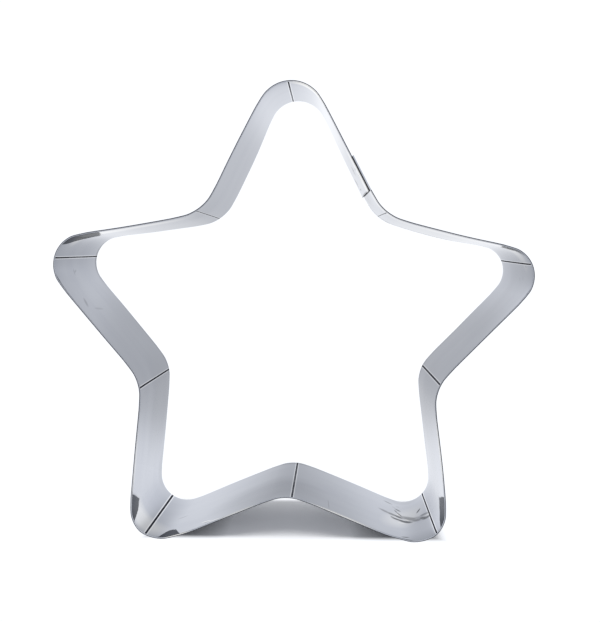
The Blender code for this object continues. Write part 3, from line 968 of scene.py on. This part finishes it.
# What stands close over the paper darkens its colour and its glow: painted shade, on top of the
# shade the lights cast.
contact = paper_node("ShaderNodeAmbientOcclusion", linear(PAPER_COLOUR), CONTACT_REACH)
paper_tone = paper_node("ShaderNodeMix", inputs={0: CONTACT_SHADE, 6: linear(PAPER_COLOUR), 7: contact},
                        data_type="RGBA")
paper_tree.links.new(paper_tone.outputs[2], paper_shader.inputs["Base Color"])
glow = paper_node("ShaderNodeMath", seen, contact.outputs["AO"], operation="MULTIPLY")
glow = paper_node("ShaderNodeMath", glow, PAPER_GLOW, operation="MULTIPLY")
paper_tree.links.new(glow.outputs[0], paper_shader.inputs["Emission Strength"])
far_level = paper_node("ShaderNodeMath", seen, SURROUND, operation="MULTIPLY")
far_glow = paper_node("ShaderNodeEmission", STUDIO_TINT, far_level)
paper_place = paper_node("ShaderNodeTexCoord").outputs["Object"]
from_shadow = paper_node("ShaderNodeVectorMath", paper_place, SHADOW_MIDDLE, operation="SUBTRACT")
from_shadow = paper_node("ShaderNodeVectorMath", from_shadow, operation="ABSOLUTE")
paper_axes = paper_node("ShaderNodeSeparateXYZ", from_shadow).outputs
fades = [paper_node("ShaderNodeMapRange", paper_axes[axis], SHADOW_REACH[axis],
                    SHADOW_REACH[axis] + SHADOW_FADE[axis], 0.0, 1.0, interpolation_type="SMOOTHSTEP")
         for axis in (0, 1)]
paper_fade = paper_node("ShaderNodeMath", *fades, operation="MAXIMUM")
paper_surface = paper_node("ShaderNodeMixShader", paper_fade, paper_shader, far_glow)
paper_dimming = paper_node("ShaderNodeMapRange", paper_ray["Glossy Depth"], 1.0, 2.0,
                           0.0, 1.0 - TWICE_MIRRORED)
unlit = paper_node("ShaderNodeEmission", inputs={"Strength": 0.0})
paper_surface = paper_node("ShaderNodeMixShader", paper_dimming, paper_surface, unlit)
paper_tree.links.new(paper_surface.outputs[0], paper_tree.nodes["Material Output"].inputs["Surface"])
floor_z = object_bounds()[0].z
studio_card("sweep", (-SWEEP_SIZE, -SWEEP_SIZE, floor_z),
            (2 * SWEEP_SIZE, 0.0, 0.0), (0.0, 2 * SWEEP_SIZE, 0.0), paper)

# The scrims: two sheets of clear film, one behind the ring and one before it, that only reflections
# see. Each has two grey clouds on it: centre across and up, half width and height, softness, and
# how much of the light they take.
SCRIM_Y = 0.08
SCRIM_WIDTH = 1.0
SCRIM_HEIGHT = 0.6
SCRIM_FOOT = 0.002
# A cloud fades across and up only, so its breadth, front to back, is far past the scene.
CLOUD_BREADTH = 10.0
SCRIM_CLOUDS = (
    (-0.008, 0.099, 0.165, 0.073, 0.114, 0.377),
    (-0.072, 0.205, 0.096, 0.037, 0.150, 0.263),
)
scrim = bpy.data.materials.new("grey_scrim")
scrim.use_nodes = True
scrim_tree = scrim.node_tree
scrim_node = functools.partial(add_node, scrim_tree)
scrim_place = scrim_node("ShaderNodeTexCoord").outputs["Object"]
passed = 1.0
for cloud_x, cloud_z, cloud_width, cloud_height, softness, darkening in SCRIM_CLOUDS:
    cloud_size = (cloud_width, CLOUD_BREADTH, cloud_height)
    cloud_space = scrim_node("ShaderNodeMapping", scrim_place, (cloud_x, 0.0, cloud_z),
                             inputs={"Scale": cloud_size}, vector_type="TEXTURE")
    radius = scrim_node("ShaderNodeVectorMath", cloud_space, operation="LENGTH").outputs["Value"]
    past_edge = scrim_node("ShaderNodeMath", radius, 1.0, operation="SUBTRACT")
    past_edge = scrim_node("ShaderNodeMath", past_edge, softness, operation="DIVIDE")
    falling = scrim_node("ShaderNodeMath", past_edge, operation="EXPONENT")
    falling = scrim_node("ShaderNodeMath", falling, 1.0, operation="ADD")
    lost = scrim_node("ShaderNodeMath", darkening, falling, operation="DIVIDE")
    cloud_pass = scrim_node("ShaderNodeMath", 1.0, lost, operation="SUBTRACT")
    passed = scrim_node("ShaderNodeMath", passed, cloud_pass, operation="MULTIPLY")
scrim_colour = scrim_node("ShaderNodeCombineColor", passed, passed, passed)
scrim_surface = scrim_node("ShaderNodeBsdfTransparent", scrim_colour)
scrim_tree.links.new(scrim_surface.outputs[0], scrim_tree.nodes["Material Output"].inputs["Surface"])
for name, scrim_y in (("scrim_behind", SCRIM_Y), ("scrim_before", -SCRIM_Y)):
    card = studio_card(name, (-SCRIM_WIDTH / 2, scrim_y, SCRIM_FOOT),
                       (SCRIM_WIDTH, 0.0, 0.0), (0.0, 0.0, SCRIM_HEIGHT), scrim)
    card.visible_camera = card.visible_diffuse = card.visible_shadow = card.visible_transmission = False

# The photograph's camera. Its place, turn, pitch, roll and focal length were fitted to the ring's
# near and far rims there.
CAMERA_PLACE = Vector((24.76, -373.3, 145.45)) * MM
CAMERA_YAW = math.radians(-3.2)
CAMERA_PITCH = math.radians(3.465)
CAMERA_ROLL = math.radians(-0.602)
FOCAL_PX = 650
IMAGE_LONG_PX = 622
SENSOR_MM = 36

ahead = Vector((math.sin(CAMERA_YAW) * math.cos(CAMERA_PITCH),
                math.cos(CAMERA_YAW) * math.cos(CAMERA_PITCH), -math.sin(CAMERA_PITCH)))
level = Vector((math.cos(CAMERA_YAW), -math.sin(CAMERA_YAW), 0.0))
above = level.cross(ahead)
right = level * math.cos(CAMERA_ROLL) + above * math.sin(CAMERA_ROLL)
up = above * math.cos(CAMERA_ROLL) - level * math.sin(CAMERA_ROLL)
camera = bpy.data.objects.new("camera", bpy.data.cameras.new("camera"))
camera.data.sensor_width = SENSOR_MM
camera.data.lens = FOCAL_PX / IMAGE_LONG_PX * SENSOR_MM
camera.matrix_world = Matrix.Translation(CAMERA_PLACE) @ Matrix((right, up, -ahead)).transposed().to_4x4()
bpy.context.scene.collection.objects.link(camera)
bpy.context.scene.camera = camera
